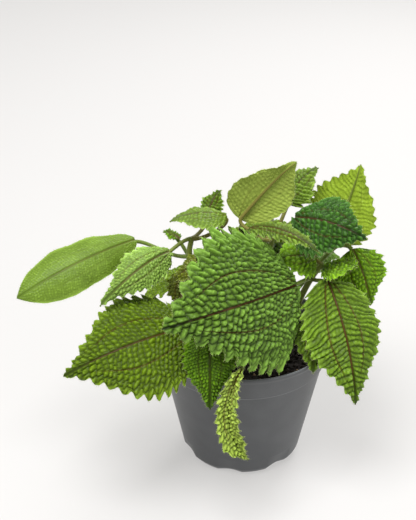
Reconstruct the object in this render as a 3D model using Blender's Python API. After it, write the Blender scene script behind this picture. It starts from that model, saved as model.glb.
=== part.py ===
"""Friendship plant in a nursery pot: quilted, saw-edged leaves on five short shoots standing in soil.

Lengths are in millimetres and angles in degrees. The origin is the middle of the pot's underside, +Z is
up, and the fullest side of the plant faces -Y.
"""

import math
from collections import namedtuple

import bmesh
import bpy
import numpy as np
from mathutils import Vector, noise

MM = 0.001
GAP = 0.3
SOIL_GAP = 0.6
STALK_GAP = 0.55

# The pot: a tapered wall under a taller collar, standing on seven feet with shallow notches between them.
POT_HEIGHT = 80.0
RIM_RADIUS = 52.5
COLLAR_DROP = 16.0
COLLAR_RADIUS = 48.6
COLLAR_STEP = 1.2
LIP = 0.8
LIP_HEIGHT = 1.6
FOOT_RADIUS = 34.0
FOOT_ROUND = 4.5
WALL = 1.4
FLOOR = 1.8
FEET = 7
SIDES_PER_FOOT = 6
NOTCH_TURN = -101.5
NOTCH_DEPTH = 2.4
NOTCH_HEIGHT = 13.0
DRAIN_RADIUS = 3.0
DRAIN_CIRCLE = 21.0
DRAIN_SIDES = 8

# The soil: a low mound of coarse crumbs a little below the rim.
SOIL_LEVEL = 71.5
SOIL_MOUND = 3.0
CRUMB_HEIGHT = 2.2
CRUMB_SIZE = 6.0
SOIL_SIDES = 28
SOIL_RINGS = (0.12, 0.3, 0.5, 0.7, 0.87, 1.0)

# Stems and leaf stalks
STEM_RADIUS = 2.2
STEM_SLIMMING = 0.35
STEM_SIDES = 8
STALK_RADIUS = 1.1
RIB_RADIUS = 0.45
RIB_SINK = 0.3
STALK_SIDES = 4

# Blades
BLADE = 0.7
QUILT = 1.2
GROOVE = 0.4
TOOTH = 1.6
NOTCH = 1.0
TOOTH_LEAN = 0.5
WIDE_LEAF = 38.0
WIDE_COLUMNS = (-1.0, -0.66, -0.33, 0.0, 0.33, 0.66, 1.0)
SLIM_COLUMNS = (-1.0, -0.5, 0.0, 0.5, 1.0)

LEAF_GREEN = (0.13, 0.30, 0.04)
STEM_GREEN = (0.25, 0.24, 0.08)
POT_GREY = (0.10, 0.10, 0.11)
SOIL_BROWN = (0.025, 0.016, 0.01)

# A leaf runs from its base to its tip, both in millimetres. joint counts the points of the stem up to the
# one that its stalk leaves. roll tips the blade about its length, arch lifts its middle and bow swings it
# sideways, as shares of its length. fold raises the halves into a V, cup curls them down to their edges
# and twist turns the tip against the base. belly is where it is widest, skew sets that apart
# for its two halves and blunt is how full its tip is. saw sizes its teeth and quilt its pillows.
Leaf = namedtuple(
    "Leaf",
    "name joint base tip width roll teeth arch bow fold cup twist belly skew blunt saw quilt",
    defaults=(0.1, 0.0, 0.0, 30.0, 0.0, 0.42, 0.0, 0.4, 1.0, 1.0),
)
Shoot = namedtuple("Shoot", "name points leaves small_leaves")

SHOOTS = (
    Shoot(
        "right",
        ((22, -4, 58), (24, -5, 80), (31, -6, 102), (38, -5, 118), (44, 0, 124)),
        (
            Leaf(
                "front", 3, (29, -18, 121), (-42, -72, 124), 82, 60, 12,
                fold=6, cup=38, belly=0.36, skew=0.1, blunt=0.5, saw=1.8, quilt=1.5,
            ),
            Leaf("right_low", 3, (46, -12, 122), (63, -48, 62), 45, -4, 12, arch=0.12, fold=4),
            Leaf("right_mid", 4, (40, 2, 128), (17, -8, 130), 30, 14, 8, twist=-6),
            Leaf("right_out", 4, (45, -3, 124), (62, -13, 130), 28, 0, 7, belly=0.55, blunt=0.7),
        ),
        (
            Leaf("right_rim", 2, (40, -12, 100), (39, -43, 79), 20, 0, 7, belly=0.5),
        ),
    ),
    Shoot(
        "back",
        ((10, 14, 58), (10, 14, 84), (13, 13, 114), (16, 11, 134), (19, 8, 141)),
        (
            Leaf(
                "crown", 3, (-3, 20, 142), (28, 8, 184), 33, 76, 9,
                arch=0.08, cup=20, belly=0.35, skew=-0.1, saw=0.3, quilt=0.5,
            ),
            Leaf("dark", 4, (28, 9, 149), (67, -11, 146), 44, -25, 10, arch=0.12, quilt=1.3),
            Leaf("sunlit", 2, (50, 26, 124), (66, 34, 171), 46, 160, 11, arch=0.05, cup=14, quilt=0.5),
            Leaf("arched", 3, (2, -2, 147), (41, -31, 148), 13, -16, 9, arch=0.16, cup=40),
            Leaf("far_right", 1, (62, 14, 127), (73, 1, 97), 36, -14, 7),
            Leaf("back_tall", 2, (12, 24, 126), (20, 64, 116), 44, 0, 9, arch=0.15),
        ),
        (
            Leaf("crown_far", 3, (24, 34, 146), (42, 40, 166), 34, 0, 5, cup=20),
        ),
    ),
    Shoot(
        "left",
        ((-16, 8, 58), (-20, 8, 82), (-26, 8, 108), (-31, 8, 124), (-30, 10, 134)),
        (
            Leaf(
                "left_far", 3, (-62, 10, 133), (-125, -28, 115), 31, 36, 9,
                cup=40, belly=0.6, blunt=1.25, saw=0.1, quilt=0.2,
            ),
            Leaf("left_bent", 4, (-42, 4, 129), (-79, -30, 112), 25, 34, 11, arch=0.22, cup=40, quilt=0.7),
            Leaf("left_top", 4, (-10, 10, 149), (-42, 2, 149), 28, 0, 9, saw=0.5, quilt=0.5),
            Leaf("left_olive", 2, (-14, -4, 131), (-40, -12, 118), 24, 10, 8),
            Leaf("left_shade", 2, (-33, -1, 119), (-36, -11, 98), 18, 0, 6, cup=20),
        ),
        (
            Leaf("left_back", 4, (-22, 28, 139), (-14, 38, 152), 15, 0, 7, cup=20),
            Leaf("left_small", 3, (-37, 15, 131), (-47, 21, 133), 8, 0, 4, cup=20, saw=0.5),
        ),
    ),
    Shoot(
        "low",
        ((-10, -22, 58), (-12, -24, 78), (-15, -26, 92), (-16, -28, 100)),
        (
            Leaf("low_left", 2, (-26, -30, 101), (-96, -62, 87), 64, 32, 13, saw=1.2),
            Leaf("low_mid", 3, (-18, -44, 112), (-17, -65, 69), 30, 0, 11, cup=40),
            Leaf(
                "low_thin", 1, (0, -60, 93), (4, -76, 44), 15, -30, 11,
                arch=0.08, bow=-0.15, fold=40, cup=10, belly=0.78, blunt=0.3,
            ),
        ),
        (),
    ),
    Shoot(
        "rear",
        ((2, 26, 58), (0, 29, 80), (-4, 34, 98), (-6, 36, 106)),
        (
            Leaf("rear_left", 3, (-20, 40, 100), (-64, 66, 54), 50, 0, 8, arch=0.14),
            Leaf("rear_right", 3, (10, 42, 108), (60, 66, 92), 50, 0, 8, arch=0.14),
            Leaf("rear_low", 2, (-2, 46, 96), (-8, 84, 64), 40, 0, 8, arch=0.14),
        ),
        (),
    ),
)


def unit(vector):
    return vector / np.linalg.norm(vector)


def turned(first, second, degrees):
    """first turned toward second, and second turned with it."""
    angle = math.radians(degrees)
    ahead, aside = math.cos(angle), math.sin(angle)
    return first * ahead + second * aside, second * ahead - first * aside


def midrib(leaf, u):
    """The point of the midrib at u, from 0 at the stalk to 1 at the tip, and its three directions."""
    chord = np.subtract(leaf.tip, leaf.base).astype(float)
    length = np.linalg.norm(chord)
    along = chord / length
    side = unit(np.cross((0.0, 0.0, 1.0), along))
    face, side = turned(np.cross(along, side), side, leaf.roll)
    swing = 4 * length * (leaf.arch * face + leaf.bow * side)
    point = np.array(leaf.base, float) + chord * u + swing * u * (1 - u)
    tangent = unit(chord + swing * (1 - 2 * u))
    up = turned(face, side, leaf.twist * (u - 0.5))[0]
    across = unit(np.cross(up, tangent))
    return point, tangent, across, np.cross(tangent, across)


def half_width(leaf, u, v):
    """Half the blade's width at u, on the side of v: rounded at the stalk and drawn out at the tip."""
    belly = leaf.belly - math.copysign(leaf.skew, v)
    if u < belly:
        return 0.5 * leaf.width * math.sqrt(1 - (1 - u / belly)**2)
    t = (u - belly) / (1 - belly)
    return 0.5 * leaf.width * ((1 - leaf.blunt) * (1 + math.cos(math.pi * t)) / 2 + leaf.blunt * (1 - t * t))


def blade_point(leaf, u, v, lift):
    """The point at u along the blade and v across it, raised by lift from its middle surface."""
    point, _, across, up = midrib(leaf, u)
    start = math.radians(leaf.fold)
    bend = math.radians(leaf.cup)
    slope = start - bend * abs(v)
    out = (math.sin(start) - math.sin(slope)) / bend
    high = (math.cos(slope) - math.cos(start)) / bend
    sign = 1.0 if v >= 0 else -1.0
    half = half_width(leaf, u, v)
    normal = up * math.cos(slope) - across * sign * math.sin(slope)
    if v == 0:
        normal = up / math.cos(start)
    return point + across * sign * half * out + up * half * high + normal * lift


def ring_faces(bm, first, second):
    for i in range(len(first)):
        k = (i + 1) % len(first)
        bm.faces.new((first[i], first[k], second[k], second[i]))


def tube(points, radii, sides):
    """A closed tube through the points."""
    bm = bmesh.new()
    points = [np.array(p, float) for p in points]
    side = np.array((0.31, 0.95, 0.12))
    rings = []
    for i, point in enumerate(points):
        along = unit(points[min(i + 1, len(points) - 1)] - points[max(i - 1, 0)])
        side = unit(side - along * (side @ along))
        other = np.cross(along, side)
        ring = []
        for k in range(sides):
            angle = 2 * math.pi * k / sides
            corner = point + radii[i] * (side * math.cos(angle) + other * math.sin(angle))
            ring.append(bm.verts.new(MM * corner))
        rings.append(ring)
    for first, second in zip(rings, rings[1:]):
        ring_faces(bm, first, second)
    bm.faces.new(list(reversed(rings[0])))
    bm.faces.new(rings[-1])
    return bm


def blade_rows(leaf, columns):
    """The points of both faces: a row across the blade for each tooth and each notch between two."""
    rows = 2 * leaf.teeth
    last = len(columns) - 1
    reach = leaf.saw * (0.5 + leaf.width / 80)
    tops, unders = [], []
    for i in range(rows + 1):
        u = 0.02 + 0.975 * i / rows
        top, under = [], []
        for j, v in enumerate(columns):
            half = max(half_width(leaf, u, v), 0.8)
            ahead = u
            lift = QUILT * leaf.quilt if (i + j) % 2 and 0 < j < last else 0.0
            if v == 0.0:
                lift = -GROOVE
            if j in (0, last):
                fading = min(1.0, half / 6)
                v *= 1 + fading * reach * (TOOTH if i % 2 else -NOTCH) / half
                ahead += fading * min(1.0, leaf.saw) * (TOOTH_LEAN / rows if i % 2 else 0.0)
            top.append(blade_point(leaf, ahead, v, lift + BLADE / 2))
            under.append(blade_point(leaf, ahead, v, lift - BLADE / 2))
        tops.append(top)
        unders.append(under)
    return tops, unders


def blade(leaf):
    """A saw-edged blade with quilted faces, split into triangles alike on both."""
    columns = WIDE_COLUMNS if leaf.width > WIDE_LEAF else SLIM_COLUMNS
    bm = bmesh.new()
    faces = blade_rows(leaf, columns)
    tops, unders = [[[bm.verts.new(MM * p) for p in row] for row in face] for face in faces]
    rows = len(tops) - 1
    last = len(columns) - 1
    for i in range(rows):
        for j in range(last):
            for grid, below in ((tops, False), (unders, True)):
                a, b, c, d = grid[i][j], grid[i][j + 1], grid[i + 1][j + 1], grid[i + 1][j]
                for corners in ((a, b, c), (a, c, d)) if (i + j) % 2 else ((a, b, d), (b, c, d)):
                    bm.faces.new(corners if below else tuple(reversed(corners)))
        bm.faces.new((tops[i][0], unders[i][0], unders[i + 1][0], tops[i + 1][0]))
        bm.faces.new((tops[i + 1][last], unders[i + 1][last], unders[i][last], tops[i][last]))
    for j in range(last):
        bm.faces.new((tops[0][j + 1], unders[0][j + 1], unders[0][j], tops[0][j]))
        bm.faces.new((tops[rows][j], unders[rows][j], unders[rows][j + 1], tops[rows][j + 1]))
    return bm


def rib_point(leaf, u, radius):
    point, _, _, up = midrib(leaf, u)
    return point - up * (GROOVE + BLADE / 2 + radius - RIB_SINK)


def stalk(leaf, points, clear):
    """The stalk from the stem's joint, clear of its skin, up to the blade and on under it as a rib."""
    joint = np.array(points[leaf.joint], float)
    below = np.array(points[leaf.joint - 1], float)
    stem_way = unit(joint - below)
    end = rib_point(leaf, 0.04, STALK_RADIUS)
    _, tangent, _, _ = midrib(leaf, 0.04)
    out = end - joint
    out = unit(out - stem_way * (out @ stem_way))
    start = joint + out * clear
    reach = np.linalg.norm(end - start)
    first = start + out * 0.35 * reach
    second = end - tangent * 0.35 * reach
    curve, radii = [], []
    for t in (0.0, 0.2, 0.45, 0.72, 1.0):
        near, far = (1 - t)**2, t * t
        curve.append(near * (start * (1 - t) + 3 * first * t) + far * (3 * second * (1 - t) + end * t))
        radii.append(STALK_RADIUS)
    for u in (0.3, 0.55, 0.8):
        radius = STALK_RADIUS + (RIB_RADIUS - STALK_RADIUS) * u / 0.8
        curve.append(rib_point(leaf, u, radius))
        radii.append(radius)
    return tube(curve, radii, STALK_SIDES)


def spline(points, steps):
    """Points on a smooth curve through the given ones."""
    p = [np.array(q, float) for q in points]
    p = [2 * p[0] - p[1], *p, 2 * p[-1] - p[-2]]
    curve = []
    for a, b, c, d in zip(p, p[1:], p[2:], p[3:]):
        for k in range(steps):
            t = k / steps
            square = 2 * a - 5 * b + 4 * c - d
            cube = 3 * b - a - 3 * c + d
            curve.append(0.5 * (2 * b + (c - a) * t + square * t**2 + cube * t**3))
    return [*curve, p[-2]]


def stem_radius(share):
    return STEM_RADIUS * (1 - STEM_SLIMMING * share)


def stem(shoot, extra=0.0):
    """The stem, or with extra the same shape grown by it for the hole that it stands in."""
    curve = spline(shoot.points, 3)
    radii = [stem_radius(k / (len(curve) - 1)) + extra for k in range(len(curve))]
    if extra:
        curve = [curve[0] - extra * unit(curve[1] - curve[0]), *curve]
        radii = [radii[0], *radii]
    return tube(curve, radii, STEM_SIDES)


def material(name, colour, roughness):
    made = bpy.data.materials.new(name)
    made.use_nodes = True
    shader = made.node_tree.nodes["Principled BSDF"]
    shader.inputs["Base Color"].default_value = (*colour, 1)
    shader.inputs["Roughness"].default_value = roughness
    return made


def add_object(name, bm, finish, collection=None):
    mesh = bpy.data.meshes.new(name)
    bm.to_mesh(mesh)
    bm.free()
    mesh.materials.append(finish)
    made = bpy.data.objects.new(name, mesh)
    (collection or bpy.context.scene.collection).objects.link(made)
    return made


def combine(name, body, others, finish, operation="UNION"):
    """The body joined with the other shapes, or cut by them, as one closed solid."""
    target = add_object(name, body, finish)
    if not others:
        return target
    collection = bpy.data.collections.new(name + "_others")
    bpy.context.scene.collection.children.link(collection)
    for k, bm in enumerate(others):
        add_object(f"{name}_other_{k}", bm, finish, collection)
    change = target.modifiers.new("combine", "BOOLEAN")
    change.operation = operation
    change.operand_type = "COLLECTION"
    change.collection = collection
    change.solver = "MANIFOLD"
    bpy.context.view_layer.update()
    evaluated = target.evaluated_get(bpy.context.evaluated_depsgraph_get())
    combined = bpy.data.meshes.new_from_object(evaluated)
    target.modifiers.clear()
    target.data = combined
    for other in list(collection.objects):
        bpy.data.objects.remove(other)
    bpy.data.collections.remove(collection)
    return target


def wall_radius(z):
    """The radius of the pot's outside at a height below its collar."""
    share = z / (POT_HEIGHT - COLLAR_DROP)
    return FOOT_RADIUS + (COLLAR_RADIUS - COLLAR_STEP - FOOT_RADIUS) * share


def inner_profile(gap):
    """Radius and height along the pot's inside from the top down, drawn in by gap."""
    collar = POT_HEIGHT - COLLAR_DROP
    return [
        (RIM_RADIUS - WALL - gap, POT_HEIGHT),
        (wall_radius(collar) - WALL - gap, collar),
        (wall_radius(NOTCH_HEIGHT) - WALL - gap, NOTCH_HEIGHT),
        (FOOT_RADIUS - FOOT_ROUND - gap, FLOOR + gap),
    ]


def pot(finish):
    collar = POT_HEIGHT - COLLAR_DROP
    outside = [
        (FOOT_RADIUS - FOOT_ROUND, 0.0),
        (FOOT_RADIUS - 0.4 * FOOT_ROUND, 0.25 * FOOT_ROUND),
        (wall_radius(FOOT_ROUND), FOOT_ROUND),
        (wall_radius(NOTCH_HEIGHT), NOTCH_HEIGHT),
        (wall_radius(collar), collar),
        (COLLAR_RADIUS, collar + 0.7),
        (RIM_RADIUS - LIP, POT_HEIGHT - 2 * LIP_HEIGHT),
        (RIM_RADIUS, POT_HEIGHT - LIP_HEIGHT),
        (RIM_RADIUS, POT_HEIGHT),
    ]
    count = FEET * SIDES_PER_FOOT
    bm = bmesh.new()
    rings = []
    for radius, z in [*outside, *inner_profile(0.0)]:
        ring = []
        for k in range(count):
            angle = math.radians(NOTCH_TURN) + 2 * math.pi * k / count
            dent = max(0.0, math.cos(2 * math.pi * k / SIDES_PER_FOOT)) * max(0.0, 1 - z / NOTCH_HEIGHT)
            r = radius - NOTCH_DEPTH * dent
            ring.append(bm.verts.new(MM * np.array((r * math.cos(angle), r * math.sin(angle), z))))
        rings.append(ring)
    for first, second in zip(rings, rings[1:]):
        ring_faces(bm, first, second)
    bm.faces.new(list(reversed(rings[0])))
    bm.faces.new(rings[-1])
    drains = []
    for k in range(FEET):
        angle = math.radians(NOTCH_TURN) + 2 * math.pi * (k + 0.5) / FEET
        x, y = DRAIN_CIRCLE * math.cos(angle), DRAIN_CIRCLE * math.sin(angle)
        drains.append(tube(((x, y, -1.0), (x, y, FLOOR + 1.0)), (DRAIN_RADIUS, DRAIN_RADIUS), DRAIN_SIDES))
    return combine("pot", bm, drains, finish, "DIFFERENCE")


def soil_height(x, y, share):
    crumbs = noise.noise(Vector((x / CRUMB_SIZE, y / CRUMB_SIZE, 0.0)))
    return SOIL_LEVEL + SOIL_MOUND * (1 - share * share) + CRUMB_HEIGHT * crumbs * (1 - share**6)


def soil(finish):
    (top_radius, top), (collar_radius, collar), *lower = inner_profile(SOIL_GAP)
    edge = collar_radius + (top_radius - collar_radius) * (SOIL_LEVEL - collar) / (top - collar)
    bm = bmesh.new()
    centre = bm.verts.new(MM * np.array((0.0, 0.0, soil_height(0, 0, 0))))
    rings = []
    for share in SOIL_RINGS:
        ring = []
        for k in range(SOIL_SIDES):
            angle = 2 * math.pi * k / SOIL_SIDES
            x, y = edge * share * math.cos(angle), edge * share * math.sin(angle)
            ring.append(bm.verts.new(MM * np.array((x, y, soil_height(x, y, share)))))
        rings.append(ring)
    for radius, z in ((collar_radius, collar), *lower):
        radius = min(radius, collar_radius)
        if z < NOTCH_HEIGHT + 1:
            radius -= NOTCH_DEPTH
        ring = []
        for k in range(SOIL_SIDES):
            angle = 2 * math.pi * k / SOIL_SIDES
            ring.append(bm.verts.new(MM * np.array((radius * math.cos(angle), radius * math.sin(angle), z))))
        rings.append(ring)
    for k in range(SOIL_SIDES):
        bm.faces.new((centre, rings[0][k], rings[0][(k + 1) % SOIL_SIDES]))
    for first, second in zip(rings, rings[1:]):
        ring_faces(bm, second, first)
    bm.faces.new(list(reversed(rings[-1])))
    bmesh.ops.triangulate(bm, faces=bm.faces)
    holes = [stem(shoot, GAP) for shoot in SHOOTS]
    return combine("soil", bm, holes, finish, "DIFFERENCE")


def shoot_nodes(shoot, leaf_finish, stem_finish):
    """The stem with its small leaves as one solid, and a solid for each large leaf with its stalk."""
    grown = []
    for leaf in shoot.small_leaves:
        grown += [blade(leaf), stalk(leaf, shoot.points, 0.0)]
    combine("stem_" + shoot.name, stem(shoot), grown, stem_finish)
    for leaf in shoot.leaves:
        clear = stem_radius(leaf.joint / (len(shoot.points) - 1)) + STALK_GAP
        combine("leaf_" + leaf.name, blade(leaf), [stalk(leaf, shoot.points, clear)], leaf_finish)


def main():
    for old in list(bpy.data.objects):
        bpy.data.objects.remove(old)
    leaf_finish = material("leaf", LEAF_GREEN, 0.55)
    stem_finish = material("stem", STEM_GREEN, 0.6)
    pot(material("pot_plastic", POT_GREY, 0.5))
    soil(material("soil", SOIL_BROWN, 0.95))
    for shoot in SHOOTS:
        shoot_nodes(shoot, leaf_finish, stem_finish)


main()
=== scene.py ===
"""Friendship plant in a grey nursery pot: fine leaves, soil and pot over the CAD frame, in a pale studio.

Lengths are in millimetres and angles in degrees until a mesh is made, which is in metres. The ground and the
lights are given in metres.
"""

import math
from collections import namedtuple

import bpy
import numpy as np
from mathutils import Matrix, Vector, noise

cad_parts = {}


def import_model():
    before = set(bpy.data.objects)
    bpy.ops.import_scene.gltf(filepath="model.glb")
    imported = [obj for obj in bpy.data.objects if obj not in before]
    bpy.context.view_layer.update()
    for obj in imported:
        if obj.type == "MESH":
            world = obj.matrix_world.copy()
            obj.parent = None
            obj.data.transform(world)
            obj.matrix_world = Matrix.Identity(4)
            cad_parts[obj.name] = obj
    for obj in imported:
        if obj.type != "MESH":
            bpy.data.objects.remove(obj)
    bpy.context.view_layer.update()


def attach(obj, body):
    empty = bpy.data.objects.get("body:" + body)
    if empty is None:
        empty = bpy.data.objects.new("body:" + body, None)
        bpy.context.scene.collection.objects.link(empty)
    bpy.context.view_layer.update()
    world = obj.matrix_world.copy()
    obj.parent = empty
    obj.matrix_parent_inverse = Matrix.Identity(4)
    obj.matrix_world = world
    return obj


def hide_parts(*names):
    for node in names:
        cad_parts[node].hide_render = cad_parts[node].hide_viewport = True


MM = 0.001
SEED = 7

# Camera, with its focal length in pixels of a picture of this height
CAMERA_PLACE = (0.0, -593.63, 450.94)
CAMERA_LOOK = (-0.02994, 0.87669, -0.48013)
PICTURE_HEIGHT = 520.0
FOCAL_PIXELS = 1200.0
SENSOR = 36.0
VIEW_DEPTH = 10000.0

# The pot: a tapered wall under a taller collar, standing on seven feet with shallow notches between them
POT_HEIGHT = 80.0
RIM_RADIUS = 52.5
COLLAR_DROP = 16.0
COLLAR_RADIUS = 48.6
COLLAR_STEP = 1.2
COLLAR_RISE = 0.7
LIP = 0.8
LIP_HEIGHT = 1.6
FOOT_RADIUS = 34.0
FOOT_ROUND = 4.5
WALL = 1.4
FLOOR = 1.8
FLOOR_CENTRE = 0.01
FEET = 7
NOTCH_TURN = -101.5
NOTCH_DEPTH = 2.4
NOTCH_HEIGHT = 13.0
NOTCH_INNER = 10.0
SIDES_PER_FOOT = 36
POT_SIDES = FEET * SIDES_PER_FOOT
CORNER = 0.6
CORNER_STEPS = 3
# How much paler the pot is along the collar's step, a painted highlight where the step catches the light,
# and along the top of the rim
COLLAR_HIGHLIGHT_AND_RIM_PALENESS = 1.1
RIM_PALENESS = 0.5

# The soil: a mounded surface, a skirt of radii and heights below it inside the pot, and loose crumbs on it
SOIL_LEVEL = 71.5
SOIL_MOUND = 3.0
SOIL_RADIUS = 48.0
SOIL_RINGS = 40
SOIL_SIDES = 90
SOIL_SKIRT = ((46.0, 64.0), (FOOT_RADIUS - NOTCH_DEPTH, NOTCH_HEIGHT), (FOOT_RADIUS - 8, FLOOR + 0.6))
CRUMB_HEIGHT = 2.2
CRUMB_SIZE = 6.0
FINE_HEIGHT = 0.5
FINE_SIZE = 1.6
CRUMBS = 1500
CRUMB_SPREAD = 0.95
CRUMB_RADII = (0.5, 1.7)
GRIT_SHARE = 0.12
GRIT_RADII = (0.5, 1.1)

# A crumb starts as an icosahedron
GOLDEN = (1 + math.sqrt(5)) / 2
LUMP_CORNERS = (
    (-1, GOLDEN, 0), (1, GOLDEN, 0), (-1, -GOLDEN, 0), (1, -GOLDEN, 0), (0, -1, GOLDEN), (0, 1, GOLDEN),
    (0, -1, -GOLDEN), (0, 1, -GOLDEN), (GOLDEN, 0, -1), (GOLDEN, 0, 1), (-GOLDEN, 0, -1), (-GOLDEN, 0, 1),
)
LUMP_FACES = (
    (0, 11, 5), (0, 5, 1), (0, 1, 7), (0, 7, 10), (0, 10, 11), (1, 5, 9), (5, 11, 4),
    (11, 10, 2), (10, 7, 6), (7, 1, 8), (3, 9, 4), (3, 4, 2), (3, 2, 6), (3, 6, 8),
    (3, 8, 9), (4, 9, 5), (2, 4, 11), (6, 2, 10), (8, 6, 7), (9, 8, 1),
)

# Stems, with a knot at each of their points, and stalks, which run on under the blade as a rib
STEM_RADIUS = 2.2
STEM_SLIMMING = 0.35
STEM_STEPS = 10
STEM_SIDES = 16
STEM_END = 1.0
KNOT = 0.1
KNOT_LENGTH = 0.12
RED_BELOW = 58
GREEN_ABOVE = 120
STALK_RADIUS = 1.1
STALK_FLARE = 0.25
STALK_STEPS = 16
STALK_SIDES = 12
STALK_BEND = 0.35
STALK_MEETS = 0.04
RIB_RADIUS = 0.45
RIB_SINK = 0.3
RIB_STEPS = 24
RIB_START = 0.08
RIB_THINS = 0.8
RIB_END = 0.96

# Blades. BLADE is how thick they are in the CAD frame, and THICKNESS how thick they are here.
BLADE = 0.7
THICKNESS = 0.5
EDGE_THINNING = 0.55
STEP = 0.5
LEAST_ROWS = 24
LEAST_COLUMNS = 17
CURVED_LENGTH = 1.08
BLADE_END = 0.003
TOOTH = 1.6
NOTCH = 1.0
TOOTH_LEAN = 0.3
WAVE = 0.5
TEETH_IN_WAVE = 2.6
MIDRIB_HALF = 0.45
MIDRIB_BED = 1.8
GROOVE = 0.4
KEEL = 0.35
LATERAL_HALF = 0.4
LATERAL_PLACE = 0.46
LATERAL_GROOVE = 0.3

# Quilting: rows of pillows that lean forward from the midrib and wander a little
RELIEF = 2.2
RELIEF_LEVEL = 0.35
ROW_LEAN = 0.35
WANDER = 0.3
WANDER_ALONG = 4.7
WANDER_ACROSS = 5.3
FINE_WANDER = 0.2
COLUMN_RATE = 1.05
CRINKLE = 0.16
BARE_BAND = 0.9

# Hairs, with their spacing along an edge and their number on each millimetre of a stem or stalk
HAIR_RADIUS = 0.07
HAIR_LENGTH = 1.3
HAIR_SPACING = 0.55
STEM_HAIRS = 5.0

# Colours, as seen in sRGB from 0 to 255
BRIGHT = (92, 118, 8)
FRESH = (97, 128, 26)
BLUISH = (100, 136, 44)
DEEP = (58, 101, 26)
DARK = (96, 138, 8)
MIDDLE = (114, 158, 16)
SUNLIT = (138, 170, 12)
PALE = (172, 190, 74)
SOFT = (106, 134, 40)
# The next tone is leaf green made dim and dull: painted shade for the two leaves in shade behind on the left
SHADED_OLIVE = (104, 116, 24)
LIGHT = (134, 168, 70)
THIN = (150, 174, 66)
UNDER = (150, 172, 84)
VEIN = (84, 38, 18)
UNDER_VEIN = (104, 84, 34)
HAIR = (196, 204, 140)
STEM = (116, 128, 52)
STEM_RED = (120, 100, 56)
STALKS = ((112, 126, 48), (122, 118, 52), (104, 124, 46))
POT = (77, 79, 81)
SOIL = (40, 32, 26)
GRIT = (150, 124, 96)

# How far each part of a blade's pattern changes its colour: painted shade in the grooves, a painted
# highlight on the pillows, the blade's own pale edge and its veins
PAINTED_GROOVE_SHADE = 0.72
PAINTED_PILLOW_BRIGHTNESS = 0.85
PAINTED_PILLOW_HIGHLIGHT = 0.25
EDGE_LIGHT = 0.5
MIDRIB_MARK = 0.95
LATERAL_MARK = 0.75
UNDER_MARK = 0.7

# Materials. A noise scale is per metre, and the bump's distance is in metres.
SHEEN_ROUGHNESS = 0.4
GRAIN_DETAIL = 3.0
GRAIN_BAND = 0.2
PATCH_SCALE = 90.0
PATCH_DETAIL = 4.0
PATCH_BAND = 0.15
BUMP_DISTANCE = 0.0003

# Studio, in metres. Each light has a name, a place, the point it faces, a size and a power in watts.
GROUND_HALF = 3.0
GROUND_COLOUR = (0.3, 0.295, 0.29, 1)
GROUND_ROUGHNESS = 0.9
GLOW_COLOUR = (1.0, 0.985, 0.97, 1)
GLOW_STRENGTH = 0.46
SKY_COLOUR = (1.0, 0.99, 0.98, 1)
SKY_LIGHT = 0.45
SKY_SEEN = 0.85
LIGHTS = (
    ("key", (-0.2, -0.3, 1.1), (0, 0, 0.1), 0.6, 14.0),
    ("fill", (0.8, -0.6, 0.5), (0, 0, 0.1), 0.7, 3.0),
    ("rim", (0.3, 0.8, 0.7), (0, 0, 0.12), 0.5, 6.0),
)

# A leaf. joint says at which of its shoot's points the stalk starts. base and tip are the ends of the blade,
# roll turns it about the line between them, and teeth are counted along one side. cell is the size of a
# pillow near the tip, and fine is the share of it that is left at the stalk. arch and bow bend the midrib up
# and sideways by a share of its length. fold raises the two halves from it, and cup bends them down again
# toward the edge. twist turns the blade along its length. belly is where it is widest, skew moves that apart
# on the two sides, and blunt rounds the tip. saw, quilt and veins scale the teeth, the relief and the colour
# of the veins. ridge joins the pillows of a row.
Leaf = namedtuple(
    "Leaf",
    "name joint base tip width roll teeth tone cell arch bow fold cup twist"
    " belly skew blunt saw quilt veins fine ridge",
    defaults=(SOFT, 3.0, 0.1, 0.0, 0.0, 30.0, 0.0, 0.42, 0.0, 0.4, 1.0, 1.0, 0.7, 0.8, 0.0),
)

# A shoot: its stem's points from inside the soil up, its large leaves, which are nodes of their own in the
# CAD frame, and its small ones, which are part of the stem's node there.
Shoot = namedtuple("Shoot", "name points leaves small_leaves")

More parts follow.
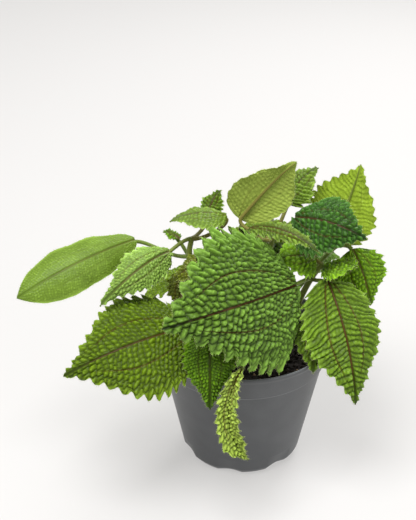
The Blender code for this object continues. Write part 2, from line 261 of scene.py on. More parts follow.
SHOOTS = (
    Shoot(
        "right",
        ((22, -4, 58), (24, -5, 80), (31, -6, 102), (38, -5, 118), (44, 0, 124)),
        (
            Leaf(
                "front", 3, (29, -18, 121), (-42, -72, 124), 82, 60, 12, BLUISH, 4.9,
                fold=6, cup=38, belly=0.36, skew=0.1, blunt=0.5, saw=1.8, quilt=1.5, veins=0.9, fine=0.5,
            ),
            Leaf(
                "right_low", 3, (46, -12, 122), (63, -48, 62), 45, -4, 12, FRESH, 3.2,
                arch=0.12, fold=4, veins=1, ridge=0.6,
            ),
            Leaf("right_mid", 4, (40, 2, 128), (17, -8, 130), 30, 14, 8, MIDDLE, 3, twist=-6),
            Leaf("right_out", 4, (45, -3, 124), (62, -13, 130), 28, 0, 7, MIDDLE, 3, belly=0.55, blunt=0.7),
        ),
        (
            Leaf("right_rim", 2, (40, -12, 100), (39, -43, 79), 20, 0, 7, FRESH, 3, belly=0.5),
        ),
    ),
    Shoot(
        "back",
        ((10, 14, 58), (10, 14, 84), (13, 13, 114), (16, 11, 134), (19, 8, 141)),
        (
            Leaf(
                "crown", 3, (-3, 20, 142), (28, 8, 184), 33, 76, 9, PALE, 3,
                arch=0.08, cup=20, belly=0.35, skew=-0.1, saw=0.3, quilt=0.25, veins=1.4,
            ),
            Leaf("dark", 4, (28, 9, 149), (67, -11, 146), 44, -25, 10, DEEP, 3.4, arch=0.12, quilt=1.3),
            Leaf(
                "sunlit", 2, (50, 26, 124), (66, 34, 171), 46, 160, 11, SUNLIT, 3,
                arch=0.05, cup=14, quilt=0.35, ridge=0.3,
            ),
            Leaf("arched", 3, (2, -2, 147), (41, -31, 148), 13, -16, 9, SOFT, 2.6, arch=0.16, cup=40),
            Leaf("far_right", 1, (62, 14, 127), (73, 1, 97), 36, -14, 7, MIDDLE, 3),
            Leaf("back_tall", 2, (12, 24, 126), (20, 64, 116), 44, 0, 9, BRIGHT, 3.2, arch=0.15),
        ),
        (
            Leaf("crown_far", 3, (24, 34, 146), (42, 40, 166), 34, 0, 5, SOFT, 2.6, cup=20),
        ),
    ),
    Shoot(
        "left",
        ((-16, 8, 58), (-20, 8, 82), (-26, 8, 108), (-31, 8, 124), (-30, 10, 134)),
        (
            Leaf(
                "left_far", 3, (-62, 10, 133), (-125, -28, 115), 31, 36, 9, SOFT, 1.6,
                cup=40, belly=0.6, blunt=1.25, saw=0.1, quilt=0.2, veins=0.35,
            ),
            Leaf(
                "left_bent", 4, (-42, 4, 129), (-79, -30, 112), 25, 34, 11, LIGHT, 2.2,
                arch=0.22, cup=40, quilt=0.7,
            ),
            Leaf("left_top", 4, (-10, 10, 149), (-42, 2, 149), 28, 0, 9, SOFT, 2.6, saw=0.5, quilt=0.5),
            Leaf("left_olive", 2, (-14, -4, 131), (-40, -12, 118), 24, 10, 8, SHADED_OLIVE, 2.6),
            Leaf("left_shade", 2, (-33, -1, 119), (-36, -11, 98), 18, 0, 6, SHADED_OLIVE, 2.6, cup=20),
        ),
        (
            Leaf("left_back", 4, (-22, 28, 139), (-14, 38, 152), 15, 0, 7, FRESH, 2.6, cup=20),
            Leaf("left_small", 3, (-37, 15, 131), (-47, 21, 133), 8, 0, 4, DARK, 2.2, cup=20, saw=0.5),
        ),
    ),
    Shoot(
        "low",
        ((-10, -22, 58), (-12, -24, 78), (-15, -26, 92), (-16, -28, 100)),
        (
            Leaf("low_left", 2, (-26, -30, 101), (-96, -62, 87), 64, 32, 13, BRIGHT, 3.4, saw=1.2),
            Leaf("low_mid", 3, (-18, -44, 112), (-17, -65, 69), 30, 0, 11, DARK, 2, cup=40, veins=0.3),
            Leaf(
                "low_thin", 1, (0, -60, 93), (4, -76, 44), 15, -30, 11, THIN, 2.4,
                arch=0.08, bow=-0.15, fold=40, cup=10, belly=0.78, blunt=0.3,
            ),
        ),
        (),
    ),
    Shoot(
        "rear",
        ((2, 26, 58), (0, 29, 80), (-4, 34, 98), (-6, 36, 106)),
        (
            Leaf("rear_left", 3, (-20, 40, 100), (-64, 66, 54), 50, 0, 8, BRIGHT, 3.2, arch=0.14),
            Leaf("rear_right", 3, (10, 42, 108), (60, 66, 92), 50, 0, 8, BLUISH, 3.4, arch=0.14),
            Leaf("rear_low", 2, (-2, 46, 96), (-8, 84, 64), 40, 0, 8, BRIGHT, 3.0, arch=0.14),
        ),
        (),
    ),
)


def linear(colour):
    """A colour from 0 to 255, as it is seen, in linear light from 0 to 1."""
    c = np.asarray(colour, float) / 255
    return np.where(c <= 0.04045, c / 12.92, ((c + 0.055) / 1.055)**2.4)


def mixed(first, second, share):
    """The first colour where share is 0, and the second where it is 1."""
    return first * (1 - share) + second * share


def plain(colour, vertices):
    """The same colour for each of the vertices."""
    return np.ones((len(vertices), 1)) * linear(colour)


def unit(vectors):
    """The vectors, each with a length of 1."""
    return vectors / np.linalg.norm(vectors, axis=-1, keepdims=True)


def smooth(low, high, value):
    """0 at low and 1 at high, with a soft start and end."""
    t = np.clip((value - low) / (high - low), 0, 1)
    return t * t * (3 - 2 * t)


def hashed(a, b, seed):
    """A steady number from 0 to 1 for each pair of whole numbers."""
    return np.modf(np.abs(np.sin(a * 12.9898 + b * 78.233 + seed * 3.71) * 43758.5453))[0]


def turned(first, second, angle):
    """first turned toward second by an angle in radians, and second turned with it."""
    return first * np.cos(angle) + second * np.sin(angle), second * np.cos(angle) - first * np.sin(angle)


def chord_length(leaf):
    """The straight length from the blade's base to its tip."""
    return float(np.linalg.norm(np.subtract(leaf.tip, leaf.base)))


def midrib(leaf, u):
    """The points of the midrib at each u, from 0 at the stalk to 1 at the tip, and their directions."""
    u = np.atleast_1d(np.asarray(u, float))[:, None]
    chord = np.subtract(leaf.tip, leaf.base).astype(float)
    length = np.linalg.norm(chord)
    along = chord / length
    side = unit(np.cross((0.0, 0.0, 1.0), along))
    face, side = turned(np.cross(along, side), side, math.radians(leaf.roll))
    swing = 4 * length * (leaf.arch * face + leaf.bow * side)
    point = np.array(leaf.base, float) + chord * u + swing * u * (1 - u)
    tangent = unit(chord + swing * (1 - 2 * u))
    up = turned(face, side, np.radians(leaf.twist) * (u - 0.5))[0]
    across = unit(np.cross(up, tangent))
    return point, tangent, across, np.cross(tangent, across)


def half_width(leaf, u, v):
    """Half the blade's width at u, on the side of v: rounded at the stalk and drawn out at the tip."""
    belly = leaf.belly - np.where(v >= 0, leaf.skew, -leaf.skew)
    early = np.sqrt(np.clip(1 - (1 - np.minimum(u, belly) / belly)**2, 0, 1))
    t = np.clip((u - belly) / (1 - belly), 0, 1)
    late = (1 - leaf.blunt) * (1 + np.cos(np.pi * t)) / 2 + leaf.blunt * (1 - t * t)
    return 0.5 * leaf.width * np.where(u < belly, early, late)


def blade_points(leaf, u, v, lift):
    """The points at u along the blade and v across it, each raised by lift from its middle surface."""
    point, _, across, up = (a.reshape(*u.shape, 3) for a in midrib(leaf, u.ravel()))
    start = math.radians(leaf.fold)
    bend = math.radians(leaf.cup)
    slope = start - bend * np.abs(v)
    out = (math.sin(start) - np.sin(slope)) / bend
    high = (np.cos(slope) - math.cos(start)) / bend
    sign = np.where(v >= 0, 1.0, -1.0)
    half = half_width(leaf, u, v)
    normal = up * np.cos(slope)[..., None] - across * (sign * np.sin(slope))[..., None]
    middle = point + across * (sign * half * out)[..., None] + up * (half * high)[..., None]
    return middle + normal * lift[..., None]


def blocky(x):
    """A flat-topped bump on each unit of x, with a narrow groove between two."""
    return 1 - np.abs(2 * (x - np.floor(x)) - 1)**3


def cell_places(leaf, u, w, side, seed):
    """Where each point lies in the quilting: in rows along the blade, and in columns out from the midrib."""
    length = chord_length(leaf)
    s = u * length
    cell = leaf.cell * (leaf.fine + (1 - leaf.fine) * u)
    stretched = length / leaf.cell * np.log(1 + (1 - leaf.fine) / leaf.fine * u) / (1 - leaf.fine)
    wander = np.sin(s / WANDER_ALONG + side * 2 + 1.7 * np.sin(w / WANDER_ACROSS + seed)) * WANDER
    small = np.sin(s / (0.55 * cell) + seed) * np.sin(w / (0.65 * cell) + 2 * seed)
    wander = wander + FINE_WANDER * small
    rows = stretched - ROW_LEAN * w / cell + wander
    row = np.floor(rows)
    columns = w / cell * COLUMN_RATE + 0.5 * np.mod(row, 2) + 0.5 * hashed(row, side, seed) + 0.6 * wander
    return rows, columns


def side_vein(leaf, u, w, half):
    """The strength of the long side vein between midrib and edge, which fades at both ends."""
    place = half * LATERAL_PLACE * np.sin(np.pi * np.clip(u, 0, 0.8) / 1.6)**0.35
    strength = np.exp(-((w - place) / LATERAL_HALF)**2) * smooth(0.92, 0.6, u) * smooth(0.0, 0.06, u)
    return strength * min(1.0, leaf.quilt + 0.1)


def pattern(leaf, u, v, seed):
    """Pillow height from 0 to 1.2, midrib and side vein strength, for each point of a blade."""
    half = half_width(leaf, u, v)
    s = u * chord_length(leaf)
    w = np.abs(v) * half
    side = np.where(v >= 0, 1.0, -1.0)
    rows, columns = cell_places(leaf, u, w, side, seed)
    size = 0.5 + 0.5 * hashed(np.floor(rows) + 31 * side, np.floor(columns), seed)
    bump = blocky(rows) * (leaf.ridge + (1 - leaf.ridge) * blocky(columns))
    crinkle = np.sin(2.6 * s + 9 * size) * np.sin(2.3 * w + 7 * size)
    tilt = 0.65 + 0.7 * (rows - np.floor(rows))
    pillow = np.clip(bump, 0, 1)**0.8 * size * tilt * (1 + CRINKLE * crinkle)
    middle = np.exp(-(w / MIDRIB_HALF)**2)
    lateral = side_vein(leaf, u, w, half)
    pillow = pillow * (1 - np.exp(-(w / BARE_BAND)**4)) * (1 - 0.6 * lateral)
    return np.clip(pillow, 0, 1.2), middle, lateral


def saw_edge(leaf, u, v):
    """u and v with the edge drawn out into forward-leaning teeth."""
    half = np.maximum(half_width(leaf, u, v), 0.4)
    reach = leaf.saw * (0.5 + leaf.width / 80)
    beat = (u - 0.02) / 0.975 * leaf.teeth
    phase = beat - np.floor(beat)
    bump = (0.5 - 0.5 * np.cos(2 * np.pi * phase))**0.8
    near_edge = smooth(0.55, 1.0, np.abs(v))
    fading = np.minimum(1.0, half / 6) * near_edge
    v = v * (1 + fading * reach * (bump * (TOOTH + NOTCH) - NOTCH) / half)
    u = u + fading * min(1.0, leaf.saw) * TOOTH_LEAN * bump / leaf.teeth
    return np.clip(u, 0, 0.9985), v


def grid_faces(rows, columns, start, flip):
    """Quads over a grid of points that is numbered from start."""
    i, j = np.meshgrid(np.arange(rows - 1), np.arange(columns - 1), indexing="ij")
    a = (start + i * columns + j).ravel()
    quads = np.stack([a, a + 1, a + columns + 1, a + columns], 1)
    return quads[:, ::-1] if flip else quads


def edge_faces(rows, columns, top, under):
    """Quads that close the rim between the two faces of a blade."""
    around = [i * columns for i in range(rows)]
    around += [(rows - 1) * columns + j for j in range(1, columns)]
    around += [i * columns + columns - 1 for i in range(rows - 2, -1, -1)]
    around += [j for j in range(columns - 2, 0, -1)]
    around = np.array(around)
    following = np.roll(around, -1)
    return np.stack([top + around, top + following, under + following, under + around], 1)


def tube(points, radii, sides):
    """Vertices and quads of a tube through the points, with its ends closed to a point."""
    points = np.asarray(points, float)
    side = np.array((0.31, 0.95, 0.12))
    rings = []
    for i, point in enumerate(points):
        along = unit(points[min(i + 1, len(points) - 1)] - points[max(i - 1, 0)])
        side = unit(side - along * (side @ along))
        other = np.cross(along, side)
        angle = 2 * np.pi * np.arange(sides) / sides
        rings.append(point + radii[i] * (np.cos(angle)[:, None] * side + np.sin(angle)[:, None] * other))
    vertices = np.concatenate([*rings, points[:1], points[-1:]])
    faces = []
    for r in range(len(points) - 1):
        for k in range(sides):
            n = (k + 1) % sides
            faces.append((r * sides + k, r * sides + n, (r + 1) * sides + n, (r + 1) * sides + k))
    first, last = len(points) * sides, len(points) * sides + 1
    end = (len(points) - 1) * sides
    for k in range(sides):
        n = (k + 1) % sides
        faces.append((n, k, first, first))
        faces.append((end + k, end + n, last, last))
    return vertices, np.array(faces)


def spline(points, steps):
    """Points on a smooth curve through the given ones."""
    p = [np.array(q, float) for q in points]
    p = [2 * p[0] - p[1], *p, 2 * p[-1] - p[-2]]
    curve = []
    for a, b, c, d in zip(p, p[1:], p[2:], p[3:]):
        for k in range(steps):
            t = k / steps
            square = 2 * a - 5 * b + 4 * c - d
            cube = 3 * b - a - 3 * c + d
            curve.append(0.5 * (2 * b + (c - a) * t + square * t**2 + cube * t**3))
    return [*curve, p[-2]]


def make_object(name, vertices, faces, colours, finishes, face_finish=None, smooth_shading=True):
    """A mesh object with a colour for each vertex, from quads. A repeated last corner makes a triangle."""
    mesh = bpy.data.meshes.new(name)
    polygons = [tuple(f[:3]) if f[2] == f[3] else tuple(f) for f in faces.tolist()]
    mesh.from_pydata((np.asarray(vertices) * MM).tolist(), [], polygons)
    layer = mesh.color_attributes.new("tint", "FLOAT_COLOR", "POINT")
    rgba = np.ones((len(vertices), 4), np.float32)
    rgba[:, :3] = colours
    layer.data.foreach_set("color", rgba.ravel())
    for finish in finishes:
        mesh.materials.append(finish)
    if face_finish is not None:
        mesh.polygons.foreach_set("material_index", np.asarray(face_finish, np.int32))
    mesh.polygons.foreach_set("use_smooth", np.full(len(polygons), smooth_shading))
    mesh.update()
    made = bpy.data.objects.new(name, mesh)
    bpy.context.scene.collection.objects.link(made)
    return made


def lengths_along(line):
    """How far along the line each of its points lies."""
    return np.concatenate([[0.0], np.cumsum(np.linalg.norm(np.diff(line, axis=0), axis=1))])


def hairs(roots, ways, lengths, start):
    """Thin three-sided spikes from the roots along the ways, with faces numbered from start."""
    side = unit(np.cross(ways, (0.37, 0.21, 0.9)))
    other = np.cross(ways, side)
    corners = []
    for k in range(3):
        angle = 2 * math.pi * k / 3
        corners.append(roots + HAIR_RADIUS * (math.cos(angle) * side + math.sin(angle) * other))
    vertices = np.stack([*corners, roots + ways * lengths[:, None]], 1).reshape(-1, 3)
    base = start + 4 * np.arange(len(roots))
    faces = []
    for a, b, c in ((0, 1, 3), (1, 2, 3), (2, 0, 3), (0, 2, 1)):
        faces.append(np.stack([base + a, base + b, base + c, base + c], 1))
    return vertices, np.concatenate(faces)


def margin_hairs(points, across, tangent, rng):
    """Roots, ways and lengths of the hairs along the two long edges of a blade."""
    roots, ways = [], []
    for column, sign in ((0, -1.0), (-1, 1.0)):
        line = points[:, column]
        gone = lengths_along(line)
        picks = np.searchsorted(gone, np.arange(1.0, gone[-1], HAIR_SPACING))
        way = sign * across[picks] + 0.5 * tangent[picks] + rng.normal(0, 0.35, (len(picks), 3))
        roots.append(line[picks])
        ways.append(unit(way))
    roots, ways = np.concatenate(roots), np.concatenate(ways)
    return roots, ways, HAIR_LENGTH * rng.uniform(0.5, 1.2, len(roots))


def tube_hairs(curve, radii, rng):
    """Roots, ways and lengths of the hairs that stand out all round a tube."""
    curve, radii = np.asarray(curve, float), np.asarray(radii, float)
    gone = lengths_along(curve)
    at = rng.uniform(0, gone[-1], int(gone[-1] * STEM_HAIRS))
    centre = np.stack([np.interp(at, gone, curve[:, k]) for k in range(3)], 1)
    ahead = np.stack([np.interp(at + 0.5, gone, curve[:, k]) for k in range(3)], 1)
    behind = np.stack([np.interp(at - 0.5, gone, curve[:, k]) for k in range(3)], 1)
    along = unit(ahead - behind)
    out = rng.normal(size=(len(at), 3))
    out = unit(out - along * np.sum(out * along, 1, keepdims=True))
    roots = centre + out * (np.interp(at, gone, radii) - 0.1)[:, None]
    return roots, unit(out + 0.3 * along), HAIR_LENGTH * rng.uniform(0.4, 0.9, len(at))


def stalk_curve(leaf, points):
    """The stalk from inside the stem up to the blade, then on under it as a rib."""
    joint = np.array(points[leaf.joint], float)
    stem_way = unit(joint - np.array(points[leaf.joint - 1], float))
    _, tangent, _, _ = midrib(leaf, STALK_MEETS)

    def rib(u, radius):
        point, _, _, up = midrib(leaf, u)
        return point[0] - up[0] * (GROOVE + BLADE / 2 + radius - RIB_SINK)

    end = rib(STALK_MEETS, STALK_RADIUS)
    out = end - joint
    out = unit(out - stem_way * (out @ stem_way))
    reach = np.linalg.norm(end - joint)
    first = joint + out * STALK_BEND * reach
    second = end - tangent[0] * STALK_BEND * reach
    curve, radii = [], []
    for t in np.linspace(0, 1, STALK_STEPS):
        lower = joint * (1 - t)**3 + 3 * first * t * (1 - t)**2
        curve.append(lower + 3 * second * t * t * (1 - t) + end * t**3)
        radii.append(STALK_RADIUS * (1 + STALK_FLARE - STALK_FLARE * smooth(0, 0.2, t)))
    for u in np.linspace(RIB_START, RIB_END, RIB_STEPS):
        radius = STALK_RADIUS + (RIB_RADIUS - STALK_RADIUS) * min(1.0, u / RIB_THINS)
        curve.append(rib(u, radius))
        radii.append(radius * (1.0 if u < RIB_THINS else 0.7))
    return curve, radii


def blade_grid(leaf):
    """u along the blade and v across it, from -1 to 1, for each point of a grid over it."""
    rows = max(LEAST_ROWS, int(chord_length(leaf) * CURVED_LENGTH / STEP))
    columns = max(LEAST_COLUMNS, int(leaf.width / STEP) | 1)
    u = np.linspace(BLADE_END, 1 - BLADE_END, rows)[:, None] * np.ones((1, columns))
    v = np.linspace(-1, 1, columns)[None, :] * np.ones((rows, 1))
    return u, v


def blade_lifts(leaf, u, v, marks, seed):
    """How far the upper and the under face stand off the blade's middle surface."""
    pillow, middle, lateral = marks
    wave = WAVE * np.sin(2 * np.pi * u * leaf.teeth / TEETH_IN_WAVE + seed) * np.abs(v)**3
    beside = 1 - np.exp(-(np.abs(v) * half_width(leaf, u, v) / MIDRIB_BED)**2)
    quilting = RELIEF * leaf.quilt * (pillow - RELIEF_LEVEL * beside)
    height = quilting - GROOVE * middle - LATERAL_GROOVE * lateral + wave
    thin = THICKNESS * (1 - EDGE_THINNING * smooth(0.8, 1.0, np.abs(v)))
    return height + thin / 2, height - thin / 2 - KEEL * middle - LATERAL_GROOVE * lateral


def paler(tone, factor, extra):
    """The tone made lighter by a factor and an extra amount, both on its 0 to 255 values."""
    return linear(np.minimum(np.array(tone) * factor + extra, 255))


def upper_colour(leaf, v, pillow, mark):
    """The tone with painted shade in the grooves and a painted highlight on the pillows, paler at the edge,
    with the veins over it.
    """
    depth = leaf.quilt**0.5
    # painted shade: the tone darkened in the grooves and lifted again toward the pillow tops
    painted_shade = 1 - depth * PAINTED_GROOVE_SHADE + depth * PAINTED_PILLOW_BRIGHTNESS * np.clip(pillow, 0, 1)[..., None]**0.8
    # painted highlight: a paler tone mixed in on the pillow tops
    light = smooth(0.55, 1.0, pillow)[..., None]
    edge = smooth(0.8, 1.0, np.abs(v))[..., None]
    colour = mixed(linear(leaf.tone) * painted_shade, paler(leaf.tone, 1.25, 18), PAINTED_PILLOW_HIGHLIGHT * light)
    colour = mixed(colour, paler(leaf.tone, 1.2, 25), EDGE_LIGHT * edge)
    return mixed(colour, linear(VEIN), mark)


def under_colour(leaf, pillow, mark):
    """A tone halfway to the colour of undersides, darker under the grooves, with fainter veins over it."""
    tone = linear(0.5 * np.array(leaf.tone) + 0.5 * np.array(UNDER))
    return mixed(tone * (0.8 + 0.25 * pillow[..., None]), linear(UNDER_VEIN), UNDER_MARK * mark)


def leaf_object(leaf, shoot, finishes, seed):
    """A quilted, saw-edged blade with its stalk and rib, and hairs along its edge and stalk."""
    u, v = blade_grid(leaf)
    rows, columns = u.shape
    count = rows * columns
    marks = pattern(leaf, u, v, seed)
    upper, lower = blade_lifts(leaf, u, v, marks, seed)
    moved_u, moved_v = saw_edge(leaf, u, v)
    top = blade_points(leaf, moved_u, moved_v, upper)
    under = blade_points(leaf, moved_u, moved_v, lower)
    curve, radii = stalk_curve(leaf, shoot.points)
    stalk, stalk_faces = tube(curve, radii, STALK_SIDES)

    rng = np.random.default_rng(seed)
    _, tangent, across, _ = midrib(leaf, moved_u[:, columns // 2])
    on_edge = margin_hairs((top + under) / 2, across, tangent, rng)
    on_stalk = tube_hairs(curve[1:STALK_STEPS], radii[1:STALK_STEPS], rng)
    roots, ways, lengths = (np.concatenate(pair) for pair in zip(on_edge, on_stalk))
    hair, hair_faces = hairs(roots, ways, lengths, 2 * count + len(stalk))

    pillow, middle, lateral = marks
    mark = np.clip(leaf.veins * (MIDRIB_MARK * middle + LATERAL_MARK * lateral), 0, 1) * smooth(0.95, 0.6, u)
    colours = [
        upper_colour(leaf, v, pillow, mark[..., None]).reshape(-1, 3),
        under_colour(leaf, pillow, mark[..., None]).reshape(-1, 3),
        plain(STALKS[seed % len(STALKS)], stalk),
        plain(HAIR, hair),
    ]
    faces = [
        grid_faces(rows, columns, 0, True),
        grid_faces(rows, columns, count, False),
        edge_faces(rows, columns, 0, count),
        stalk_faces + 2 * count,
        hair_faces,
    ]
    face_finish = np.concatenate([np.full(len(f), 1 if k >= 3 else 0) for k, f in enumerate(faces)])
    vertices = np.concatenate([top.reshape(-1, 3), under.reshape(-1, 3), stalk, hair])
    faces, colours = np.concatenate(faces), np.concatenate(colours)
    return make_object("plant_" + leaf.name, vertices, faces, colours, finishes, face_finish)


def stem_object(shoot, finish, seed):
    """A stem that gets slimmer upward, with a knot at each point, redder at its foot, with hairs."""
    curve = spline(shoot.points, STEM_STEPS)
    count = len(curve)
    radii = []
    for k in range(count):
        place = k / STEM_STEPS
        knot = max(math.exp(-((place - j) / KNOT_LENGTH)**2) for j in range(1, len(shoot.points)))
        radii.append(STEM_RADIUS * (1 - STEM_SLIMMING * k / (count - 1)) * (1 + KNOT * knot))
    curve = [*curve, curve[-1] + unit(curve[-1] - curve[-2]) * STEM_END]
    radii = [*radii, radii[-1] * 0.6]
    vertices, faces = tube(curve, radii, STEM_SIDES)
    share = smooth(RED_BELOW, GREEN_ABOVE, vertices[:, 2])[:, None]
    colours = mixed(linear(STEM_RED), linear(STEM), share)
    above = next(k for k, point in enumerate(curve) if point[2] > SOIL_LEVEL + SOIL_MOUND)
    roots, ways, lengths = tube_hairs(curve[above:], radii[above:], np.random.default_rng(seed))
    hair, hair_faces = hairs(roots, ways, lengths, len(vertices))
    vertices = np.concatenate([vertices, hair])
    faces = np.concatenate([faces, hair_faces])
    colours = np.concatenate([colours, plain(HAIR, hair)])
    return make_object("shoot_" + shoot.name, vertices, faces, colours, [finish])


def wall_radius(z):
    """The outer radius of the wall below the collar at a height."""
    share = z / (POT_HEIGHT - COLLAR_DROP)
    return FOOT_RADIUS + (COLLAR_RADIUS - COLLAR_STEP - FOOT_RADIUS) * share


def rounded(profile, corner, steps):
    """The profile with each of its corners replaced by a short arc."""
    points = [np.array(p, float) for p in profile]
    made = [points[0]]
    for before, here, after in zip(points, points[1:], points[2:]):
        back, ahead = before - here, after - here
        cut = min(corner, 0.45 * np.linalg.norm(back), 0.45 * np.linalg.norm(ahead))
        start, end = here + unit(back) * cut, here + unit(ahead) * cut
        for k in range(steps + 1):
            t = k / steps
            made.append(start * (1 - t)**2 + 2 * here * t * (1 - t) + end * t * t)
    return [*made, points[-1]]


def pot_object(finish):
    """The pot, turned round its axis, with notches pushed in, a painted highlight along the collar's step
    and a paler top to the rim.
    """
    collar = POT_HEIGHT - COLLAR_DROP
    profile = [
        (FLOOR_CENTRE, 0.0),
        (FOOT_RADIUS - FOOT_ROUND, 0.0),
        (FOOT_RADIUS - 0.4 * FOOT_ROUND, 0.25 * FOOT_ROUND),
        (wall_radius(FOOT_ROUND), FOOT_ROUND),
        (wall_radius(NOTCH_HEIGHT), NOTCH_HEIGHT),
        (wall_radius(collar), collar),
        (COLLAR_RADIUS, collar + COLLAR_RISE),
        (RIM_RADIUS - LIP, POT_HEIGHT - 2 * LIP_HEIGHT),
        (RIM_RADIUS, POT_HEIGHT - LIP_HEIGHT),
        (RIM_RADIUS, POT_HEIGHT),
        (RIM_RADIUS - WALL, POT_HEIGHT),
        (wall_radius(collar) - WALL, collar),
        (wall_radius(NOTCH_HEIGHT) - WALL, NOTCH_HEIGHT),
        (FOOT_RADIUS - FOOT_ROUND, FLOOR),
        (FLOOR_CENTRE, FLOOR),
    ]
    angle = np.radians(NOTCH_TURN) + 2 * np.pi * np.arange(POT_SIDES) / POT_SIDES
    wave = np.maximum(0.0, np.cos(FEET * (angle - np.radians(NOTCH_TURN))))
    rings = []
    for radius, z in rounded(profile, CORNER, CORNER_STEPS):
        dent = wave * max(0.0, 1 - z / NOTCH_HEIGHT)
        r = radius - NOTCH_DEPTH * dent * (radius > NOTCH_INNER)
        rings.append(np.stack([r * np.cos(angle), r * np.sin(angle), np.full(POT_SIDES, z)], 1))
    vertices = np.concatenate(rings)
    faces = []
    for k in range(len(rings) - 1):
        a = k * POT_SIDES + np.arange(POT_SIDES)
        b = k * POT_SIDES + (np.arange(POT_SIDES) + 1) % POT_SIDES
        faces.append(np.stack([a, b, b + POT_SIDES, a + POT_SIDES], 1))
    height = vertices[:, 2]
    # A painted highlight along the collar's step, and a paler band along the top of the rim, on the outside
    # only
    collar_highlight_and_pale_rim = smooth(collar - 0.3, collar + 0.2, height) * smooth(collar + 1.3, collar + 0.5, height)
    collar_highlight_and_pale_rim = collar_highlight_and_pale_rim + RIM_PALENESS * smooth(POT_HEIGHT - 0.5, POT_HEIGHT, height)
    outside = np.hypot(vertices[:, 0], vertices[:, 1]) > wall_radius(height) - 0.5
    colours = (1 + COLLAR_HIGHLIGHT_AND_RIM_PALENESS * collar_highlight_and_pale_rim * outside)[:, None] * linear(POT)
    return make_object("nursery_pot", vertices, np.concatenate(faces), colours, [finish])


def soil_height(x, y, share):
    """The height of the soil at x and y, share of its radius out from the middle."""
    crumbs = noise.noise(Vector((x / CRUMB_SIZE, y / CRUMB_SIZE, 0.0)))
    return SOIL_LEVEL + SOIL_MOUND * (1 - share * share) + CRUMB_HEIGHT * crumbs * (1 - share**6)


def lump(rng, size):
    """The corners of a rough crumb: an icosahedron pushed in and out, flattened and turned."""
    pushed = unit(np.array(LUMP_CORNERS)) * rng.uniform(0.7, 1.15, (len(LUMP_CORNERS), 1))
    corners = pushed * size * rng.uniform(0.6, 1.0, 3)
    turn = np.linalg.qr(rng.normal(size=(3, 3)))[0]
    return corners @ turn


def add_soil_body(vertices, colours, faces):
    """Adds the crumbly surface and the skirt under it, as rings of points from the middle out and down."""
    angles = [2 * math.pi * k / SOIL_SIDES for k in range(SOIL_SIDES)]
    for share in np.linspace(0, 1, SOIL_RINGS):
        for angle in angles:
            x, y = SOIL_RADIUS * share * math.cos(angle), SOIL_RADIUS * share * math.sin(angle)
            fine = FINE_HEIGHT * noise.noise(Vector((x / FINE_SIZE, y / FINE_SIZE, 3.0)))
            vertices.append((x, y, soil_height(x, y, share) + fine))
            colours.append(linear(SOIL) * (0.8 + 0.4 * fine))
    for radius, z in SOIL_SKIRT:
        for angle in angles:
            vertices.append((radius * math.cos(angle), radius * math.sin(angle), z))
            colours.append(linear(SOIL))
    for r in range(SOIL_RINGS + len(SOIL_SKIRT) - 1):
        inner, outer = r * SOIL_SIDES, (r + 1) * SOIL_SIDES
        for k in range(SOIL_SIDES):
            n = (k + 1) % SOIL_SIDES
            faces.append((inner + k, outer + k, outer + n, inner + n))


def add_crumb(vertices, colours, faces, rng):
    """Adds one loose crumb of soil or grain of grit at a drawn place."""
    share = math.sqrt(rng.uniform(0, CRUMB_SPREAD))
    angle = rng.uniform(0, 2 * math.pi)
    x, y = SOIL_RADIUS * share * math.cos(angle), SOIL_RADIUS * share * math.sin(angle)
    grit = rng.uniform() < GRIT_SHARE
    size = rng.uniform(*(GRIT_RADII if grit else CRUMB_RADII))
    corners = lump(rng, size) + (x, y, soil_height(x, y, share) + 0.4 * size)
    start = len(vertices)
    vertices += [tuple(c) for c in corners]
    colours += [linear(GRIT if grit else SOIL) * rng.uniform(0.5, 1.3)] * len(LUMP_CORNERS)
    faces += [(start + a, start + b, start + c, start + c) for a, b, c in LUMP_FACES]


def soil_object(finish):
    """The soil with its loose crumbs, shaded flat."""
    rng = np.random.default_rng(SEED)
    vertices, colours, faces = [], [], []
    add_soil_body(vertices, colours, faces)
    for _ in range(CRUMBS):
        add_crumb(vertices, colours, faces, rng)
    shape = np.array(vertices), np.array(faces), np.array(colours)
    return make_object("potting_soil", *shape, [finish], smooth_shading=False)


def varied(tree, place, scale, detail, band, amount):
    """A noise texture, and a factor made from it that goes from 1 - amount to 1 + amount."""
    texture = tree.nodes.new("ShaderNodeTexNoise")
    texture.inputs["Scale"].default_value = scale
    texture.inputs["Detail"].default_value = detail
    tree.links.new(place.outputs["Object"], texture.inputs["Vector"])
    factor = tree.nodes.new("ShaderNodeMapRange")
    factor.inputs["From Min"].default_value = 0.5 - band
    factor.inputs["From Max"].default_value = 0.5 + band
    factor.inputs["To Min"].default_value = 1 - amount
    factor.inputs["To Max"].default_value = 1 + amount
    tree.links.new(texture.outputs["Fac"], factor.inputs["Value"])
    return texture, factor


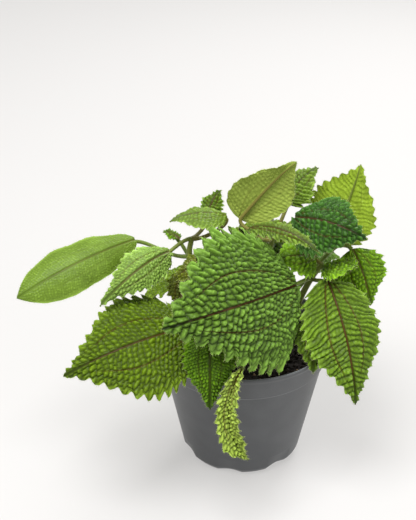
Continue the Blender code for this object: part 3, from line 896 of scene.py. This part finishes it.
def surface_material(name, roughness, bump, gloss=0.5, sheen=0.0, bump_scale=900.0, speckle=0.0, patch=0.0):
    """Colour from the mesh's tint, varied by a fine speckle and by larger patches, with a fine bump."""
    made = bpy.data.materials.new(name)
    made.use_nodes = True
    tree = made.node_tree
    shader = tree.nodes["Principled BSDF"]
    shader.inputs["Roughness"].default_value = roughness
    shader.inputs["Specular IOR Level"].default_value = gloss
    shader.inputs["Sheen Weight"].default_value = sheen
    shader.inputs["Sheen Roughness"].default_value = SHEEN_ROUGHNESS
    tint = tree.nodes.new("ShaderNodeAttribute")
    tint.attribute_name = "tint"
    place = tree.nodes.new("ShaderNodeTexCoord")
    grain, speckles = varied(tree, place, bump_scale, GRAIN_DETAIL, GRAIN_BAND, speckle)
    _, patches = varied(tree, place, PATCH_SCALE, PATCH_DETAIL, PATCH_BAND, patch)
    both = tree.nodes.new("ShaderNodeMath")
    both.operation = "MULTIPLY"
    tree.links.new(speckles.outputs["Result"], both.inputs[0])
    tree.links.new(patches.outputs["Result"], both.inputs[1])
    scale = tree.nodes.new("ShaderNodeVectorMath")
    scale.operation = "SCALE"
    tree.links.new(tint.outputs["Color"], scale.inputs[0])
    tree.links.new(both.outputs["Value"], scale.inputs["Scale"])
    tree.links.new(scale.outputs["Vector"], shader.inputs["Base Color"])
    relief = tree.nodes.new("ShaderNodeBump")
    relief.inputs["Strength"].default_value = bump
    relief.inputs["Distance"].default_value = BUMP_DISTANCE
    tree.links.new(grain.outputs["Fac"], relief.inputs["Height"])
    tree.links.new(relief.outputs["Normal"], shader.inputs["Normal"])
    return made


def area_light(name, place, target, size, power):
    """A square light at a place, facing the target."""
    data = bpy.data.lights.new(name, "AREA")
    data.size = size
    data.energy = power
    made = bpy.data.objects.new(name, data)
    made.location = place
    made.rotation_euler = (Vector(target) - Vector(place)).to_track_quat("-Z", "Y").to_euler()
    bpy.context.scene.collection.objects.link(made)


def ground():
    """A pale floor under the pot, lit a little by its own material."""
    mesh = bpy.data.meshes.new("floor")
    corners = [(x * GROUND_HALF, y * GROUND_HALF, 0) for x, y in ((-1, -1), (1, -1), (1, 1), (-1, 1))]
    mesh.from_pydata(corners, [], [(0, 1, 2, 3)])
    floor = bpy.data.objects.new("floor", mesh)
    bpy.context.scene.collection.objects.link(floor)
    paint = bpy.data.materials.new("floor_paint")
    paint.use_nodes = True
    shader = paint.node_tree.nodes["Principled BSDF"]
    shader.inputs["Base Color"].default_value = GROUND_COLOUR
    shader.inputs["Emission Color"].default_value = GLOW_COLOUR
    shader.inputs["Emission Strength"].default_value = GLOW_STRENGTH
    shader.inputs["Roughness"].default_value = GROUND_ROUGHNESS
    mesh.materials.append(paint)


def sky():
    """A pale world that looks brighter to the camera than it lights."""
    world = bpy.data.worlds.new("studio")
    bpy.context.scene.world = world
    world.use_nodes = True
    tree = world.node_tree
    back = tree.nodes["Background"]
    back.inputs["Color"].default_value = SKY_COLOUR
    ray = tree.nodes.new("ShaderNodeLightPath")
    strength = tree.nodes.new("ShaderNodeMapRange")
    strength.inputs["To Min"].default_value = SKY_LIGHT
    strength.inputs["To Max"].default_value = SKY_SEEN
    tree.links.new(ray.outputs["Is Camera Ray"], strength.inputs["Value"])
    tree.links.new(strength.outputs["Result"], back.inputs["Strength"])


def camera():
    """The camera of the photograph's view."""
    data = bpy.data.cameras.new("camera")
    data.sensor_fit = "VERTICAL"
    data.sensor_height = SENSOR
    data.lens = FOCAL_PIXELS / PICTURE_HEIGHT * SENSOR
    data.clip_end = VIEW_DEPTH * MM
    made = bpy.data.objects.new("camera", data)
    forward = Vector(CAMERA_LOOK).normalized()
    right = forward.cross(Vector((0, 0, 1))).normalized()
    up = right.cross(forward)
    turn = Matrix((right, up, -forward)).transposed().to_4x4()
    made.matrix_world = Matrix.Translation(Vector(CAMERA_PLACE) * MM) @ turn
    bpy.context.scene.collection.objects.link(made)
    bpy.context.scene.camera = made


def plant(leaf_finish, stem_finish):
    """Every shoot with its leaves. The seed goes up by one for each leaf."""
    seed = SEED
    for shoot in SHOOTS:
        stem = stem_object(shoot, stem_finish, seed)
        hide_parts("stem_" + shoot.name)
        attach(stem, "root")
        for leaf in (*shoot.leaves, *shoot.small_leaves):
            seed += 1
            made = leaf_object(leaf, shoot, [leaf_finish, stem_finish], seed)
            node = "leaf_" + leaf.name if leaf in shoot.leaves else "stem_" + shoot.name
            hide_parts(node)
            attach(made, "root")


def main():
    """Dresses the CAD frame, piece by piece, and sets the studio and the camera."""
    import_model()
    plastic = surface_material("pot_plastic", 0.42, 0.15, bump_scale=1500.0, speckle=0.04, patch=0.07)
    earth = surface_material("earth", 0.95, 0.4, bump_scale=1200.0, speckle=0.3, patch=0.2)
    leaf_finish = surface_material(
        "leaf_skin", 0.45, 0.25, gloss=0.2, sheen=0.03, bump_scale=1400.0, speckle=0.1, patch=0.1
    )
    stem_finish = surface_material("stem_skin", 0.55, 0.2, gloss=0.3, sheen=0.1, speckle=0.08)
    pot = pot_object(plastic)
    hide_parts("pot")
    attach(pot, "root")
    soil = soil_object(earth)
    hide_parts("soil")
    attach(soil, "root")
    plant(leaf_finish, stem_finish)
    ground()
    sky()
    for light in LIGHTS:
        area_light(*light)
    camera()
    bpy.context.scene.view_settings.view_transform = "Standard"


main()
